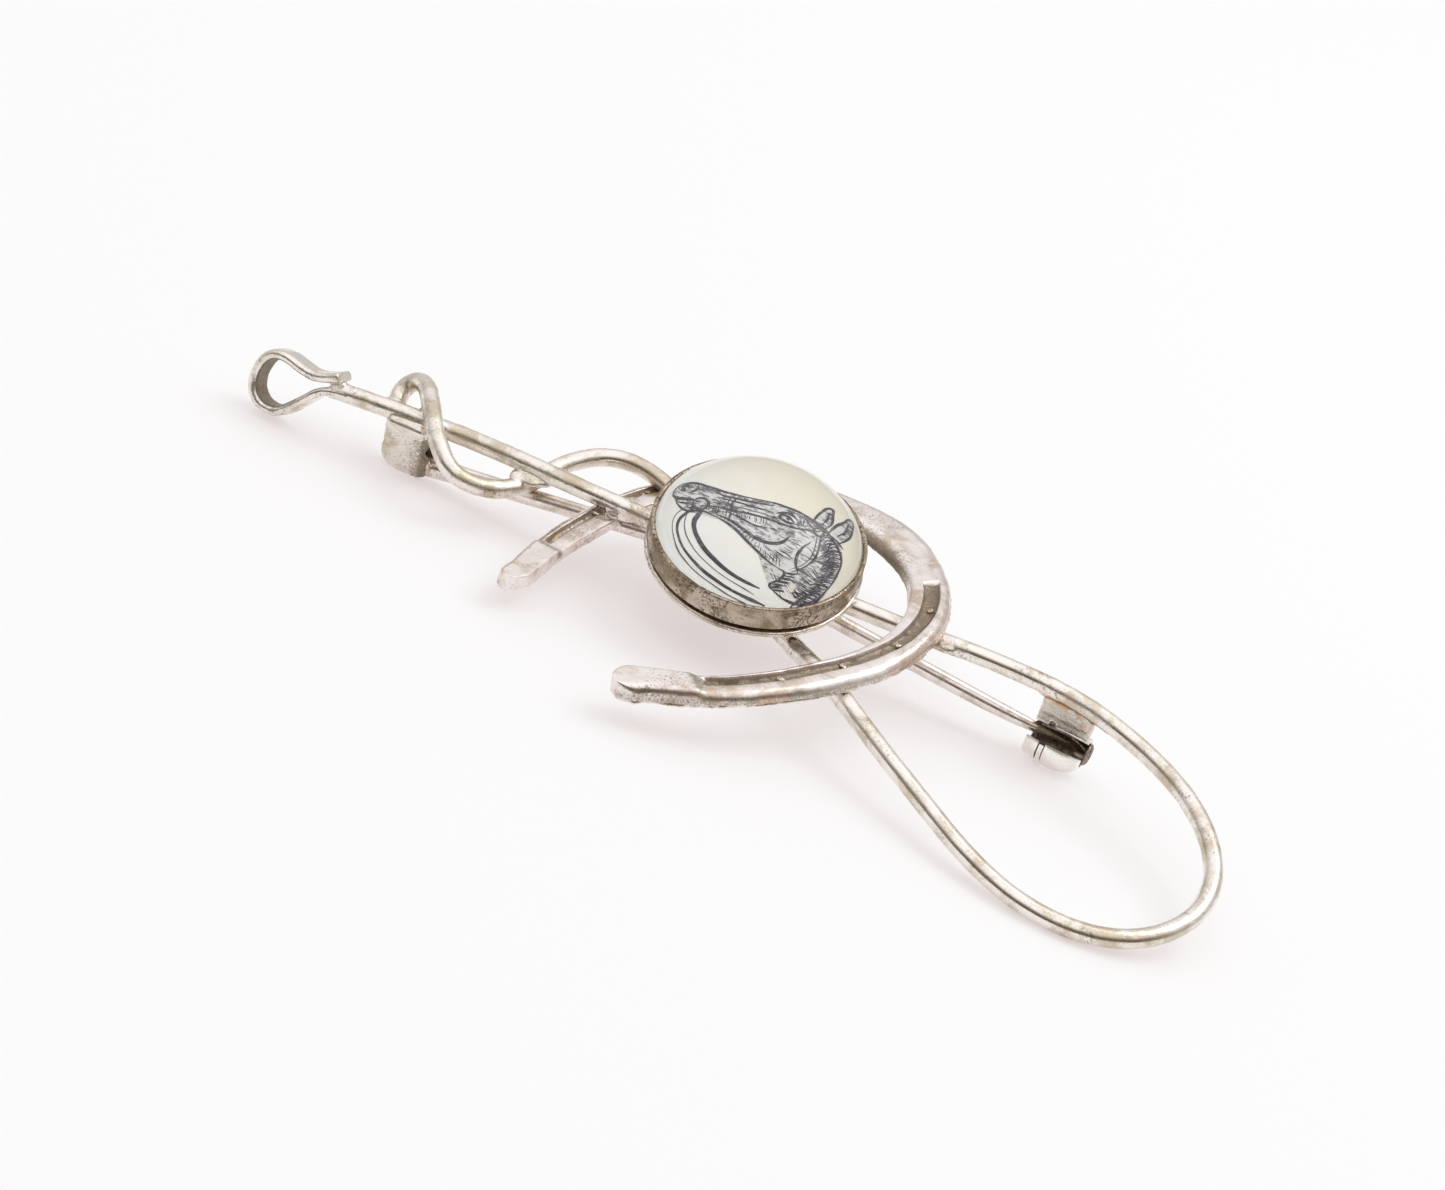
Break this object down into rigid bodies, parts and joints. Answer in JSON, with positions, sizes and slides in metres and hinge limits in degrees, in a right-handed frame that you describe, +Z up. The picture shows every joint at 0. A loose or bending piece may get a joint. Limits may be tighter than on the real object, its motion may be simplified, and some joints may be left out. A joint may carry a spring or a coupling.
{
  "type": "horseshoe brooch",
  "caption": "Silver brooch: a hunting whip with a looped lash wraps a horseshoe and a domed crystal over a picture, with a hinged pin and a safety catch.",
  "frame": {"origin": "centre of the bounding box's base, on the surface that the brooch lies on, face up", "axes": "+X along the whip's shaft from the hook to the lash loop, +Z up out of the surface; the face leans about 17 degrees towards -Y, because the pin and catch hold it off the surface"},
  "size_m": [0.074, 0.0304, 0.0116],
  "materials": {
    "silver": "worn silver, speckled, with brown tarnish in the recesses",
    "picture": "cream ground with dark grey line work",
    "crystal": "clear, polished",
    "pin_metal": "smooth drawn wire",
    "catch_metal": "dark, tarnished inside the barrel"
  },
  "bodies": {
    "brooch": {"frame": "silver", "picture_disc": "picture", "crystal_dome": "crystal", "hinge_rivet": "pin_metal"},
    "pin": {"pin_stem": "pin_metal"},
    "rotor": {"catch_rotor": "catch_metal"}
  },
  "joints": [
    {"name": "pin_swing", "type": "hinge", "parent": "brooch", "child": "pin", "pos_m": [-0.02476, 0.00477, 0.00126], "axis": [-0.0102, 0.9572, 0.2891], "range_deg": [0, 100]},
    {"name": "catch_lock", "type": "hinge", "parent": "brooch", "child": "rotor", "pos_m": [0.02391, 0.00482, 0.00153], "axis": [0.995, -0.1001, 0.0049], "range_deg": [-90, 0]}
  ]
}
